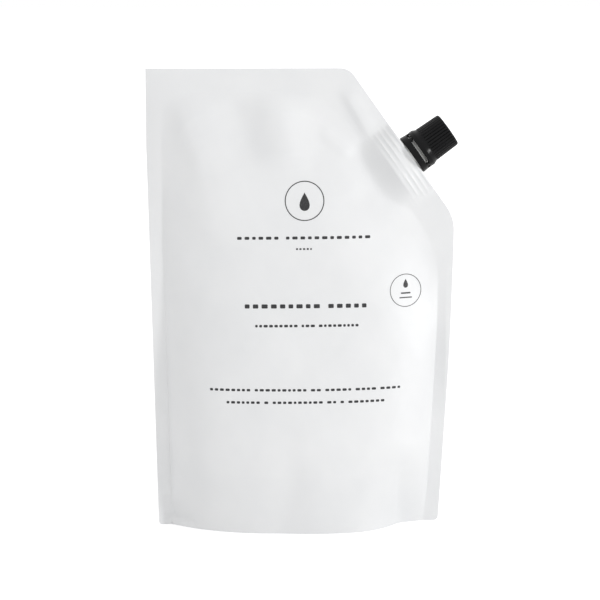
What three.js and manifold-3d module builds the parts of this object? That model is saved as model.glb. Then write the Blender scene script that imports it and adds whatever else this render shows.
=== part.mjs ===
// A stand-up refill pouch for liquid hand soap, with a screw-capped spout welded into its cut corner.
// Millimetres, +Z up. X runs across the pouch and Y from its front (-Y) to its back (+Y).
// The origin is on the floor, under the middle of the pouch.
import * as THREE from "three";
import { mergeVertices } from "three/addons/utils/BufferGeometryUtils.js";
import Module from "manifold-3d";

const wasm = await Module();
wasm.setup();

// Outline of the pouch, seen from the front
const packWidth = 160;
const packHeight = 240;
const leftDrawIn = 4.7; // how far the filled body pulls each side seam in, at the floor
const rightDrawIn = 7.1;
const rightDrawInCurve = 1.35;
const leftDrawInHeight = 200;
const bottomCornerRadius = 3;
const cutAcross = 55.2; // how much of the top edge the cut corner takes away
const cutDown = 77.5; // how much of the right side it takes away
const cutTopRadius = 9;
const cutSideRadius = 22;

// Film and heat seals
const plyThickness = 0.3;
const sideSeal = 7;
const topSeal = 12;
const spoutSeal = 15; // depth of the seal along the cut corner

// Filled body and bottom gusset
const bellyDepth = 26; // from the middle plane to the fullest point of either panel
const bellyHeight = 30;
const bellyTaper = 0.85;
const sectionPower = [2.6, 3.1]; // squareness of the body seen from above, at the belly and at the top
const sectionRoundness = [0.62, 1]; // and how softly it meets the side seals
const baseDepth = 25; // from the middle plane to either bottom edge
const baseMiddle = 8; // where the bottom edges bow out furthest, right of the middle
const baseCurveLeft = 1.8;
const baseCurveRight = 3.2;
const baseBlendHeight = 55; // height over which the body's shape takes over from the base's
const baseEndLeft = 9.3; // where the two bottom edges meet, in from each side seam's edge
const baseEndRight = 18.9;
const cornerCurl = 7; // how far the left seam's foot curls to the front
const cornerCurlHeight = 90;
const cornerCurlWidth = 60;
const cutInflation = 50; // how far the body takes to fill out below the spout's seal
const skirtHeight = 7; // bottom seal at the middle of the pouch
const skirtHeightAtEnds = 22;
const gussetFloorClearance = 2; // under the middle of the gusset film
const gussetPeakAtEnds = 30;
const gussetArch = [0.6, 0.3, 0]; // points of the arch, as shares of the way out to the skirt
const recessLeast = 3; // the recess ends where the bottom edges come this close to the middle plane

// Weld base of the spout, inside the corner's seal
const spoutOffset = 8.2; // the spout's axis, down from the middle of the cut
const boatLength = 40;
const boatCover = 1.2; // of the weld base over the neck's radius
const boatTipThickness = 1;
const boatDepth = 10.2; // down into the pouch
const neckFootInset = 1; // of the neck's foot, inside the weld base
const boatSetBack = 0.2; // the boat's top below the film's edge
const weldRibs = 3;
const weldRibPitch = 3.7;
const weldRibWidth = 1.3;
const weldRibDepth = 0.5;
const ribShowThrough = 0.4; // height of the ribs pressed through the film
const ribShareAtTips = 0.4; // of that height, left at the weld base's tips
const filmOverBoat = 0.6;
const filmUnderBoat = 1;
const boatRunOut = 22; // how far below the weld base the film takes to draw in
const boatTipRunOut = 5; // and past its tips
const fitClearance = 0.3;

// Neck of the spout
const boreRadius = 5.6;
const neckRadius = 7;
const neckTop = 22; // above the film's edge, along the spout's axis
const flangeRadius = 9.6;
const flangeBottom = 0.3;
const flangeTop = 0.95;
const beadRadius = 9.2;
const beadHeight = 2.1;
const beadTopStep = 0.7; // of the bead's slope over the neck, at its upper end
const rimChamfer = 0.4;

// Screw thread shared by the neck and the cap
const threadPitch = 3.2;
const threadHeight = 0.75;
const threadWidth = 1.1;
const threadTipClearance = 0.4; // of the neck's thread in the cap's bore
const threadSink = 0.2; // of each thread into its wall
const threadSections = 28; // for each turn
const threadRunOut = 4; // sections over which a thread's end comes to a point
const threadEndHeight = 0.15; // of the thread's full height, at that point
const threadEndWidth = 0.5; // and of its full width
const neckThreadInset = 4; // from the neck's rim down to the thread's upper end
const neckThreadTurns = 1.75;
const capThreadTurns = 1.25;

// Tamper-evident ring
const ringHeight = 2.7;
const ringBottomRadius = 10.75;
const ringTopRadius = 10.4;
const ringLipHeight = 1.45;
const ringLipRadius = 8.3;
const ringBevel = 0.4;
const ringSkirtBottom = 0.4; // the ring's outer wall reaches down round the flange, above the film's edge
const bridgeAngles = [0, 40, 140, 180, 220, 320];
const bridgeWidth = 1.6;
const bridgeSetBack = 0.05; // inside the ring's faces
const bridgeSink = 0.5; // into the ring
const windowHeight = 1.6;

// Screw cap
const capSkirtRadius = 10.5;
const capSkirtHeight = 2.2;
const capFlareHeight = 2.9;
const flareBend = { inward: 0.35, up: 0.3 }; // the bend in the flare's slope, as shares of its size
const capBodyRadius = 9.6;
const capBodyFootInset = 0.2; // of the body's foot, inside the skirt
const capTopRadius = 9.25;
const capTopRounding = 1.2;
const capTopThickness = 1.5;
const capEdgeBevel = 0.3;
const capMouthDepth = 1.5; // of the widened mouth that clears the neck's bead
const fluteRunIn = 0.3; // above and below the flare's end, where the flutes begin
const fluteCount = 36;
const fluteDepth = 0.45;
const fluteCrest = [0.1, 0.4]; // both edges of a crest, as shares of the flutes' pitch
const fluteHollow = 0.75; // and the middle of the hollow
const plugLength = 2.8;
const plugWall = 0.9;
const plugLeadIn = 0.6; // height of the plug's slope
const plugLeadInWidth = 0.3;

const cutOverrun = 1; // of a cutting solid past the face that it opens
const radialSegments = 40;

const filmColour = "#ececec";
const spoutColour = "#e6e6e4";
const capColour = "#17171a";

// Places that follow from the sizes above
const halfWidth = packWidth / 2;
const cutLength = Math.hypot(cutAcross, cutDown);
const cutAngle = Math.atan2(cutDown, cutAcross);
const along = { x: Math.cos(cutAngle), z: -Math.sin(cutAngle) }; // down the cut edge
const outward = { x: Math.sin(cutAngle), z: Math.cos(cutAngle) }; // the spout's axis
const cutStart = { x: halfWidth - cutAcross, z: packHeight };
const spoutAlongCut = cutLength / 2 + spoutOffset;
const spoutFoot = {
  x: cutStart.x + spoutAlongCut * along.x,
  z: cutStart.z + spoutAlongCut * along.z,
};
const sideFillet = {
  x: halfWidth - cutSideRadius,
  z: cutStart.z - (cutSideRadius + (halfWidth - cutSideRadius - cutStart.x) * outward.x) / outward.z,
};
const topFillet = {
  x: cutStart.x + (cutTopRadius * outward.z - cutTopRadius) / outward.x,
  z: packHeight - cutTopRadius,
};
const sideFilletTop = sideFillet.z + cutSideRadius * outward.z;
const topFilletStart = topFillet.z + cutTopRadius * outward.z;

const baseReachLeft = halfWidth - leftDrawIn - baseEndLeft + baseMiddle;
const baseReachRight = halfWidth - rightDrawIn - baseEndRight - baseMiddle;
const sealHalf = plyThickness;
const skirtWall = 2 * plyThickness;
const boatHalfLength = boatLength / 2;
const boatHalf = neckRadius + boatCover;
const boatTipHalf = boatTipThickness / 2;
const boatBottom = -boatSetBack - boatDepth;
const firstRib = boatSetBack + weldRibWidth / 2;
const pocketFloor = boatDepth + boatSetBack + fitClearance + filmUnderBoat;
const neckThreadStart = neckTop - neckThreadInset - neckThreadTurns * threadPitch;

const ringBottom = flangeTop + fitClearance;
const ringTop = ringBottom + ringHeight;
const beadBottom = ringBottom + ringLipHeight + fitClearance;
const beadTop = beadBottom + beadHeight;
const capBottom = ringTop + windowHeight;
const skirtTop = capBottom + capSkirtHeight;
const flareTop = skirtTop + capFlareHeight;
const capRoof = neckTop + fitClearance;
const capTop = capRoof + capTopThickness;
const capBore = neckRadius + threadHeight + threadTipClearance;

// Number helpers
const clamp01 = (value) => Math.min(1, Math.max(0, value));
const ease = (value) => clamp01(value) ** 2 * (3 - 2 * clamp01(value));
const mix = (from, to, share) => from + (to - from) * share;

// The larger of two depths, with a soft hollow where they meet
const softLarger = (a, b) => (a ** 4 + b ** 4) ** 0.25;

// Values from one number to another in equal steps, without the first
function steps(from, to, count) {
  return Array.from({ length: count }, (_, i) => mix(from, to, (i + 1) / count));
}

// Each side seam's distance from the middle at a height, where nothing is cut away
function leftWidthAt(z) {
  return halfWidth - leftDrawIn * Math.max(0, 1 - z / leftDrawInHeight);
}

function rightWidthAt(z) {
  return halfWidth - rightDrawIn * Math.max(0, 1 - z / sideFillet.z) ** rightDrawInCurve;
}

function bottomCornerInset(z) {
  const below = Math.max(0, bottomCornerRadius - z);
  return bottomCornerRadius - Math.sqrt(bottomCornerRadius ** 2 - below ** 2);
}

function leftEdgeAt(z) {
  return bottomCornerInset(z) - leftWidthAt(z);
}

// Side, rounded corner, straight cut, and the rounding into the top edge
function rightEdgeAt(z) {
  if (z <= sideFillet.z) return rightWidthAt(z) - bottomCornerInset(z);
  if (z <= sideFilletTop) return sideFillet.x + Math.sqrt(cutSideRadius ** 2 - (z - sideFillet.z) ** 2);
  if (z <= topFilletStart) return cutStart.x + ((cutStart.z - z) * along.x) / -along.z;
  return topFillet.x + Math.sqrt(Math.max(0, cutTopRadius ** 2 - (z - topFillet.z) ** 2));
}

// Sideways step that moves a point one unit square to the right edge
function rightEdgeSlant(z) {
  if (z <= sideFillet.z) return 1;
  if (z >= sideFilletTop) return 1 / outward.x;
  return 1 / Math.sqrt(1 - ((z - sideFillet.z) / cutSideRadius) ** 2);
}

// Place along the cut from the spout's axis, and depth inside the cut edge
function cutPlace(x, z) {
  const dx = x - spoutFoot.x;
  const dz = z - spoutFoot.z;
  return { l: dx * along.x + dz * along.z, n: -(dx * outward.x + dz * outward.z) };
}

// Shape of the bottom edges from above: 1 where they bow out furthest, 0 where they meet
function baseBow(x) {
  if (x > baseMiddle) return Math.max(0, 1 - ((x - baseMiddle) / baseReachRight) ** baseCurveRight);
  return Math.max(0, 1 - ((baseMiddle - x) / baseReachLeft) ** baseCurveLeft);
}

// Half the depth of the filled body, before its folds
function bodyDepth(x, z) {
  const fillTop = packHeight - topSeal;
  const height = clamp01((z - bellyHeight) / (fillTop - bellyHeight));
  const width = x < 0 ? leftWidthAt(z) : rightWidthAt(z);
  const across = clamp01(Math.abs(x) / (width - sideSeal));
  const section = (1 - across ** mix(...sectionPower, height)) ** mix(...sectionRoundness, height);
  const inside = cutPlace(x, z).n - spoutSeal;
  const nearCut = 1 - (1 - clamp01(inside / cutInflation)) ** 2;
  const belly = bellyDepth * (1 - height) ** bellyTaper * section * nearCut;
  const foot = baseDepth * baseBow(x);
  return mix(foot, belly, ease(z / baseBlendHeight));
}

// A place on a panel, across from the middle and down from the top edge
const fromTop = (x, drop) => [x, packHeight - drop];

// A fold rises over this share of its length, and starts and ends this share past its places
const foldFade = 0.4;
const foldOverrun = 0.25;

// Soft folds of each panel, with the spread to either side and the height, where one below zero is a hollow
const frontFolds = [
  { from: fromTop(-64, 14), to: fromTop(-51, 48), spread: [8, 22], height: 2.4 },
  { from: fromTop(-50, 50), to: fromTop(-44, 88), spread: [13, 26], height: 2.2 },
  { from: fromTop(-38, 15), to: fromTop(-27, 42), spread: [12, 9], height: -1.1 },
  { from: fromTop(-14, 13), to: fromTop(-6, 47), spread: [14, 12], height: 3.3 },
  { from: fromTop(18, 40), to: fromTop(24, 66), spread: [12, 10], height: 1.2 },
  { from: [-3, 34], to: [-14, 0], spread: [9, 9], height: -0.9 },
];
const backFolds = [
  { from: fromTop(-58, 14), to: fromTop(-30, 64), spread: [8, 14], height: 2.6 },
  { from: fromTop(-38, 16), to: fromTop(-8, 56), spread: [9, 8], height: -1.7 },
  { from: fromTop(4, 14), to: fromTop(-6, 58), spread: [9, 12], height: 2.2 },
  { from: fromTop(30, 26), to: fromTop(12, 50), spread: [6, 7], height: -1.4 },
  { from: [12, 36], to: [20, 0], spread: [10, 10], height: -0.8 },
];

function foldHeight(folds, x, z) {
  let total = 0;
  for (const { from, to, spread, height } of folds) {
    const run = [to[0] - from[0], to[1] - from[1]];
    const length = Math.hypot(...run);
    const share = ((x - from[0]) * run[0] + (z - from[1]) * run[1]) / length ** 2;
    const off = ((z - from[1]) * run[0] - (x - from[0]) * run[1]) / length;
    const ends = ease((share + foldOverrun) / foldFade) * ease((1 + foldOverrun - share) / foldFade);
    total += height * ends * Math.exp(-((off / spread[off < 0 ? 0 : 1]) ** 2));
  }
  return total;
}

// Half the thickness of the spout's weld base, along its length
function boatHalfAt(l) {
  return mix(boatTipHalf, boatHalf, Math.max(0, 1 - (l / boatHalfLength) ** 2));
}

// Ribs of the weld base pressed through the film: 1 on a rib and 0 between two
function ribWave(n) {
  const count = (n - firstRib) / weldRibPitch;
  if (count < -0.5 || count > weldRibs - 0.5) return 0;
  return Math.max(0, 1 - 2 * Math.abs(count - Math.round(count)));
}

// Height of the film over the weld base and just below it
function filmOverBoatAt(x, z) {
  const { l, n } = cutPlace(x, z);
  const tips = ease((boatHalfLength + boatTipRunOut - Math.abs(l)) / boatTipRunOut);
  const belowBoat = (1 - clamp01((n - pocketFloor) / boatRunOut)) ** 2;
  const ribs = ribShowThrough * ribWave(n) * clamp01(1 + ribShareAtTips - Math.abs(l) / boatHalfLength);
  return (boatHalfAt(l) + fitClearance + filmOverBoat + ribs) * tips * belowBoat;
}

// Distance of a panel's outside from the middle plane
function panelDepth(x, z, folds) {
  const body = bodyDepth(x, z);
  const folded = body + foldHeight(folds, x, z) * clamp01(body / 3);
  return softLarger(Math.max(sealHalf, folded), filmOverBoatAt(x, z));
}

// The sheet half-way between both panels, flat but for the curl of the left seam's foot
function middleSheet(x, z) {
  const low = clamp01(1 - z / cornerCurlHeight) ** 2;
  const left = clamp01((-x - (halfWidth - cornerCurlWidth)) / cornerCurlWidth) ** 2;
  return -cornerCurl * low * left;
}

// Heights of the bottom film: along the skirts, and half-way between them
function skirtTopAt(x) {
  return mix(skirtHeight, skirtHeightAtEnds, 1 - baseBow(x));
}

function gussetMiddleAt(x) {
  return mix(gussetFloorClearance, gussetPeakAtEnds, 1 - baseBow(x));
}

// Under the pouch, from the front bottom edge to the back one, as [y, z] at one column
function undersidePath(xAt) {
  const depth = (z, folds) => panelDepth(xAt(z), z, folds);
  const wallRows = 3;
  if (baseDepth * baseBow(xAt(0)) < recessLeast) {
    const stepCount = 2 * (wallRows + gussetArch.length);
    const across = steps(-depth(0, frontFolds), depth(0, backFolds), stepCount).slice(0, -1);
    return across.map((y) => [y, 0]);
  }
  const top = skirtTopAt(xAt(0));
  const middle = gussetMiddleAt(xAt(0));
  const halfPath = (folds) => {
    const wall = [0, ...steps(0, top, wallRows - 1)].map((z) => [depth(z, folds) - skirtWall, z]);
    const film = gussetArch.map((share) => [share * wall.at(-1)[0], mix(middle, top, share ** 2)]);
    return [...wall, ...film];
  };
  const front = halfPath(frontFolds).map(([y, z]) => [-y, z]);
  const back = halfPath(backFolds).slice(0, -1).reverse();
  return [...front, ...back];
}

// Heights of the pouch's rows, from the top edge down
function rowHeights() {
  const quarter = Math.PI / 2;
  const heights = [0];
  for (const angle of steps(0, quarter, 3)) heights.push(bottomCornerRadius * (1 - Math.cos(angle)));
  heights.push(...steps(bottomCornerRadius, baseBlendHeight, 7));
  heights.push(...steps(baseBlendHeight, sideFillet.z, 9));
  heights.push(...steps(sideFillet.z, sideFilletTop, 3));
  heights.push(...steps(sideFilletTop, packHeight - topSeal, 14));
  heights.push(...steps(packHeight - topSeal, topFilletStart, 2));
  const startAngle = quarter - cutAngle;
  for (const angle of steps(startAngle, quarter, 4)) {
    heights.push(topFillet.z + cutTopRadius * Math.sin(angle));
  }
  return heights.reverse();
}

// Columns of the pouch as functions of height, from the left edge to the right one
function columns() {
  const pastSeal = [0, 1, 3.5, 7.5, 13];
  const pastPocket = [0, 6, 13];
  const leftInsets = [0, sideSeal / 2, ...pastSeal.map((step) => sideSeal + step)];
  const rightInsets = [0];
  for (let i = 0; i < 2 * weldRibs; i++) rightInsets.push(firstRib + (i * weldRibPitch) / 2);
  rightInsets.push(...pastPocket.map((step) => pocketFloor + step));
  const innerLeft = leftInsets.at(-1);
  const innerRight = rightInsets.at(-1);
  const left = leftInsets.map((inset) => (z) => leftEdgeAt(z) + inset);
  const right = rightInsets.map((inset) => (z) => rightEdgeAt(z) - inset * rightEdgeSlant(z)).reverse();
  const between = steps(0, 1, 16).slice(0, -1).map((share) => (z) =>
    mix(leftEdgeAt(z) + innerLeft, rightEdgeAt(z) - innerRight * rightEdgeSlant(z), share),
  );
  return [...left, ...between, ...right];
}

// The film envelope with its contents: one sealed body, built as rings that run down the front,
// under the gusset and up the back
function pouchGeometry() {
  const heights = rowHeights();
  const xs = columns();
  const rings = xs.map((xAt) => {
    const place = ([y, z]) => [xAt(z), y + middleSheet(xAt(z), z), z];
    const wall = (folds, side) => heights.map((z) => place([side * panelDepth(xAt(z), z, folds), z]));
    return [...wall(frontFolds, -1), ...undersidePath(xAt).map(place), ...wall(backFolds, 1).reverse()];
  });
  const count = rings[0].length;
  const faces = [];
  const at = (column, k) => column * count + ((k + count) % count);
  for (let column = 0; column + 1 < rings.length; column++) {
    for (let k = 0; k < count; k++) {
      faces.push(at(column, k), at(column, k + 1), at(column + 1, k + 1));
      faces.push(at(column, k), at(column + 1, k + 1), at(column + 1, k));
    }
  }
  const closeEnd = (column, isLeft) => {
    const face = (a, b, c) => {
      const corners = isLeft ? [a, b, c] : [a, c, b];
      faces.push(...corners.map((k) => at(column, k)));
    };
    const last = heights.length - 1;
    for (let i = 0; i < last; i++) face(i, count - 1 - i, count - 2 - i);
    for (let i = 0; i < last - 1; i++) face(i, count - 2 - i, i + 1);
    for (let k = count - 1 - last; k > last; k--) face(last - 1, k, k - 1);
  };
  closeEnd(0, true);
  closeEnd(rings.length - 1, false);
  const geometry = new THREE.BufferGeometry();
  geometry.setAttribute("position", new THREE.Float32BufferAttribute(rings.flat(2), 3));
  geometry.setIndex(faces);
  return geometry;
}

// Solids for cutting and joining
function solidOf(geometry) {
  const bare = geometry.clone();
  bare.deleteAttribute("normal");
  bare.deleteAttribute("uv");
  const merged = mergeVertices(bare);
  return new wasm.Manifold(
    new wasm.Mesh({
      numProp: 3,
      vertProperties: merged.attributes.position.array,
      triVerts: new Uint32Array(merged.index.array),
    }),
  );
}

function geometryOf(solid) {
  const mesh = solid.getMesh();
  const geometry = new THREE.BufferGeometry();
  geometry.setAttribute("position", new THREE.BufferAttribute(mesh.vertProperties, 3));
  geometry.setIndex(new THREE.BufferAttribute(mesh.triVerts, 1));
  geometry.computeVertexNormals();
  return geometry;
}

// A solid turned about Z from a closed outline of [radius, height] points
function turned(outline) {
  const points = outline.map(([radius, height]) => new THREE.Vector2(radius, height));
  if (outline[0][0] > 0) points.push(points[0].clone());
  return solidOf(new THREE.LatheGeometry(points, radialSegments).rotateX(Math.PI / 2));
}

// A round bar along Z
function bar(radius, bottom, top) {
  return turned([[0, bottom], [radius, bottom], [radius, top], [0, top]]);
}

// A pointed oval prism along Z, with blunt tips
function ovalPrism(halfLength, halfThickness, tipHalf, bottom, top) {
  const shape = new THREE.Shape();
  const bulge = 2 * halfThickness - tipHalf;
  shape.moveTo(-halfLength, -tipHalf);
  shape.quadraticCurveTo(0, -bulge, halfLength, -tipHalf);
  shape.lineTo(halfLength, tipHalf);
  shape.quadraticCurveTo(0, bulge, -halfLength, tipHalf);
  shape.closePath();
  const options = { depth: top - bottom, bevelEnabled: false, curveSegments: 10 };
  return solidOf(new THREE.ExtrudeGeometry(shape, options).translate(0, 0, bottom));
}

// Weld base up to a height, with room around it
function boatEnvelope(room, top) {
  return ovalPrism(boatHalfLength + room, boatHalf + room, boatTipHalf + room, boatBottom - room, top);
}

// A screw rib: from a wall radius to a crest radius, with pointed run-outs at both ends
function threadRib(wall, crest, start, turns) {
  const count = Math.round(turns * threadSections);
  const sections = [];
  for (let i = 0; i <= count; i++) {
    const angle = (i / count) * turns * 2 * Math.PI;
    const middle = start + (angle / (2 * Math.PI)) * threadPitch;
    const grown = mix(threadEndHeight, 1, ease(Math.min(i, count - i) / threadRunOut));
    const reach = mix(wall, crest, grown);
    const half = (threadWidth / 2) * mix(threadEndWidth, 1, grown);
    const inner = [[wall, -half], [reach, -half / 2], [reach, half / 2], [wall, half]];
    sections.push(inner.map(([r, z]) => [r * Math.cos(angle), r * Math.sin(angle), middle + z]));
  }
  const faces = [];
  for (let i = 0; i < count; i++) {
    for (let k = 0; k < 4; k++) {
      const [a, b] = [i * 4 + k, i * 4 + ((k + 1) % 4)];
      faces.push(a, a + 4, b, b, a + 4, b + 4);
    }
  }
  const end = count * 4;
  faces.push(0, 1, 2, 0, 2, 3, end, end + 2, end + 1, end, end + 3, end + 2);
  if (crest < wall) faces.reverse();
  const geometry = new THREE.BufferGeometry();
  geometry.setAttribute("position", new THREE.Float32BufferAttribute(sections.flat(2), 3));
  geometry.setIndex(faces);
  return solidOf(geometry);
}

// Weld base, flange, retaining bead and threaded neck, bored through
function spoutSolid() {
  const core = [boatHalfLength - weldRibDepth, boatHalf - weldRibDepth, boatTipHalf];
  let solid = ovalPrism(...core, boatBottom, -boatSetBack);
  for (let i = 0; i < weldRibs; i++) {
    const ribMiddle = -firstRib - i * weldRibPitch;
    const [low, high] = [ribMiddle - weldRibWidth / 2, ribMiddle + weldRibWidth / 2];
    solid = solid.add(ovalPrism(boatHalfLength, boatHalf, boatTipHalf, low, high));
  }
  const outline = [
    [0, boatBottom + neckFootInset],
    [neckRadius, boatBottom + neckFootInset],
    [neckRadius, flangeBottom],
    [flangeRadius, flangeBottom],
    [flangeRadius, flangeTop],
    [neckRadius, flangeTop],
    [neckRadius, beadBottom],
    [beadRadius, beadBottom],
    [beadRadius, (beadBottom + beadTop) / 2],
    [neckRadius + beadTopStep, beadTop],
    [neckRadius, beadTop],
    [neckRadius, neckTop - rimChamfer],
    [neckRadius - rimChamfer, neckTop],
    [0, neckTop],
  ];
  solid = solid.add(turned(outline));
  const crest = neckRadius + threadHeight;
  solid = solid.add(threadRib(neckRadius - threadSink, crest, neckThreadStart, neckThreadTurns));
  return solid.subtract(bar(boreRadius, boatBottom - cutOverrun, neckTop + cutOverrun));
}

// Ring that stays under the neck's bead when the cap is first turned, with the bridges that join them
function ringSolid() {
  const inside = beadRadius + fitClearance;
  const lipTop = ringBottom + ringLipHeight;
  const roundFlange = flangeRadius + fitClearance;
  let solid = turned([
    [ringLipRadius, ringBottom],
    [roundFlange, ringBottom],
    [roundFlange, ringSkirtBottom],
    [ringBottomRadius - ringBevel, ringSkirtBottom],
    [ringBottomRadius, ringSkirtBottom + ringBevel],
    [ringTopRadius, ringTop],
    [inside, ringTop],
    [inside, lipTop],
    [ringLipRadius, lipTop - ringBevel],
  ]);
  const height = windowHeight - fitClearance + bridgeSink;
  for (const angle of bridgeAngles) {
    const bridge = new THREE.BoxGeometry(ringTopRadius - inside - 2 * bridgeSetBack, bridgeWidth, height);
    bridge.translate((ringTopRadius + inside) / 2, 0, ringTop - bridgeSink + height / 2);
    bridge.rotateZ(THREE.MathUtils.degToRad(angle));
    solid = solid.add(solidOf(bridge));
  }
  return solid;
}

// Ring of points round the fluted cap body: both edges of a crest and the hollow after it
function flutedRing(radius, depth, height) {
  const points = [];
  for (let i = 0; i < fluteCount; i++) {
    for (const [share, drop] of [[fluteCrest[0], 0], [fluteCrest[1], 0], [fluteHollow, depth]]) {
      const angle = ((i + share) / fluteCount) * 2 * Math.PI;
      points.push([(radius - drop) * Math.cos(angle), (radius - drop) * Math.sin(angle), height]);
    }
  }
  return points;
}

// A closed solid through rings of equally many points, from the lowest to the highest
function ringLoft(rings) {
  const count = rings[0].length;
  const points = rings.flat();
  const bottom = points.push([0, 0, rings[0][0][2]]) - 1;
  const top = points.push([0, 0, rings.at(-1)[0][2]]) - 1;
  const faces = [];
  for (let k = 0; k < count; k++) {
    const next = (k + 1) % count;
    faces.push(bottom, next, k, top, (rings.length - 1) * count + k, (rings.length - 1) * count + next);
    for (let i = 0; i + 1 < rings.length; i++) {
      const [a, b] = [i * count + k, i * count + next];
      faces.push(a, b, b + count, a, b + count, a + count);
    }
  }
  const geometry = new THREE.BufferGeometry();
  geometry.setAttribute("position", new THREE.Float32BufferAttribute(points.flat(), 3));
  geometry.setIndex(faces);
  return solidOf(geometry);
}

// Fluted cap with its skirt, inner thread and the plug that closes the bore
function capSolid() {
  const roundingMiddle = (1 - Math.SQRT1_2) * capTopRounding;
  const body = ringLoft([
    flutedRing(capBodyRadius - capBodyFootInset, 0, skirtTop - cutOverrun),
    flutedRing(capBodyRadius, 0, flareTop - fluteRunIn),
    flutedRing(capBodyRadius, fluteDepth, flareTop + fluteRunIn),
    flutedRing(capTopRadius, fluteDepth, capTop - capTopRounding),
    flutedRing(capTopRadius - roundingMiddle, fluteDepth / 2, capTop - roundingMiddle),
    flutedRing(capTopRadius - capTopRounding, 0, capTop),
  ]);
  const skirt = turned([
    [0, capBottom],
    [capSkirtRadius - capEdgeBevel, capBottom],
    [capSkirtRadius, capBottom + capEdgeBevel],
    [capSkirtRadius, skirtTop],
    [mix(capSkirtRadius, capBodyRadius, flareBend.inward), mix(skirtTop, flareTop, flareBend.up)],
    [capBodyRadius, flareTop],
    [0, flareTop],
  ]);
  const mouth = beadRadius + fitClearance;
  const mouthTop = capBottom + capMouthDepth;
  const hollow = turned([
    [0, capBottom - cutOverrun],
    [mouth, capBottom - cutOverrun],
    [mouth, mouthTop],
    [capBore, mouthTop + (mouth - capBore)],
    [capBore, capRoof],
    [0, capRoof],
  ]);
  const plugRadius = boreRadius - fitClearance;
  const plugEnd = capRoof - plugLength;
  const plugRoot = capRoof + capTopThickness / 2;
  const plug = turned([
    [plugRadius - plugWall, plugEnd],
    [plugRadius - plugLeadInWidth, plugEnd],
    [plugRadius, plugEnd + plugLeadIn],
    [plugRadius, plugRoot],
    [plugRadius - plugWall, plugRoot],
  ]);
  const spareTurns = neckThreadTurns - capThreadTurns;
  const start = neckThreadStart + threadPitch * (spareTurns / 2 + 0.5);
  const thread = threadRib(capBore + threadSink, capBore - threadHeight, start, capThreadTurns);
  const turn = (spareTurns / 2) * 360;
  return body.add(skirt).subtract(hollow).add(plug).add(thread.rotate([0, 0, turn]));
}

function part(name, geometry, colour, roughness) {
  const material = new THREE.MeshStandardMaterial({ color: colour, roughness, metalness: 0 });
  const mesh = new THREE.Mesh(geometry, material);
  mesh.name = name;
  return mesh;
}

// Turns a solid from the spout's own frame, +Z along its axis, to its place on the cut corner
function placeOnCut(object) {
  object.rotation.y = cutAngle;
  object.position.set(spoutFoot.x, 0, spoutFoot.z);
  return object;
}

// The pouch's pocket for the weld base, open at the cut edge
function pocketedPouch() {
  const room = placeOnCut(new THREE.Object3D());
  room.updateMatrix();
  const pocket = boatEnvelope(fitClearance, flangeBottom).transform(room.matrix.elements);
  return solidOf(pouchGeometry()).subtract(pocket);
}

const closure = placeOnCut(new THREE.Group());
closure.add(
  part("spout", geometryOf(spoutSolid()), spoutColour, 0.45),
  part("tamper_ring", geometryOf(ringSolid()), capColour, 0.35),
  part("screw_cap", geometryOf(capSolid()), capColour, 0.35),
);

const refillPack = new THREE.Group();
refillPack.add(part("pouch", geometryOf(pocketedPouch()), filmColour, 0.5), closure);

export default refillPack;
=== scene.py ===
# A white refill pouch for liquid hand soap, with a black screw cap on its cut corner.
# Sizes in the dictionaries are in millimetres, but in metres for the camera and the studio. The meshes
# are made in metres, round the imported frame.
import math
from types import SimpleNamespace

import bpy
import numpy as np
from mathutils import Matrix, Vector


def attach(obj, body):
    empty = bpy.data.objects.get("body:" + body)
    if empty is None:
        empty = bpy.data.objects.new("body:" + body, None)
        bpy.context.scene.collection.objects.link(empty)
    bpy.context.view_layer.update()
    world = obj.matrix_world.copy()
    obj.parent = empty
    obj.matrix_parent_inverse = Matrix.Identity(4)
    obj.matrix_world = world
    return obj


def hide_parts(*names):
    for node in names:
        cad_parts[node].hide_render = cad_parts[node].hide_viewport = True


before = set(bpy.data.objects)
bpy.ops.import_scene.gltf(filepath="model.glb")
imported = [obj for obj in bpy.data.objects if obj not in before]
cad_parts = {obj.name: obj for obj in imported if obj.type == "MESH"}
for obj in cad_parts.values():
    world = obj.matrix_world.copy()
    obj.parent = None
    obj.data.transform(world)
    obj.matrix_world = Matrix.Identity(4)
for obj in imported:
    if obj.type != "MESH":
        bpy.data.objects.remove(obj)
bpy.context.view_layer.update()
mm = 0.001
fullTurn = 2 * math.pi
print("frame loaded:", ", ".join(sorted(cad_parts)))


# Numbers and curves

def clamp01(value):
    return np.clip(value, 0.0, 1.0)


def ease(value):
    share = clamp01(value)
    return share * share * (3 - 2 * share)


def mix(low, high, share):
    return low + (high - low) * share


def softLarger(a, b):
    return (a ** 4 + b ** 4) ** 0.25


# Camera

cameraSetup = {
    "turn": -3.0,      # degrees round the pack, to its left
    "rise": 9.0,       # degrees above the level
    "distance": 1.13,  # metres from the point it looks at
    "lens": 129.6,
    "lookAt": (-0.0005, 0.0, 0.1193),
}


def makeCamera(setup):
    turn = math.radians(setup["turn"])
    rise = math.radians(setup["rise"])
    back = Vector((math.sin(turn) * math.cos(rise), -math.cos(turn) * math.cos(rise), math.sin(rise)))
    camera = bpy.data.objects.new("camera", bpy.data.cameras.new("camera"))
    camera.data.sensor_width = 36
    camera.data.lens = setup["lens"]
    camera.data.clip_start = 0.05
    camera.location = Vector(setup["lookAt"]) + back * setup["distance"]
    camera.rotation_euler = back.to_track_quat("Z", "Y").to_euler()
    bpy.context.scene.collection.objects.link(camera)
    bpy.context.scene.camera = camera


makeCamera(cameraSetup)


# Node materials: each helper adds one node and returns the socket that it gives. Sizes are in millimetres.

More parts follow.
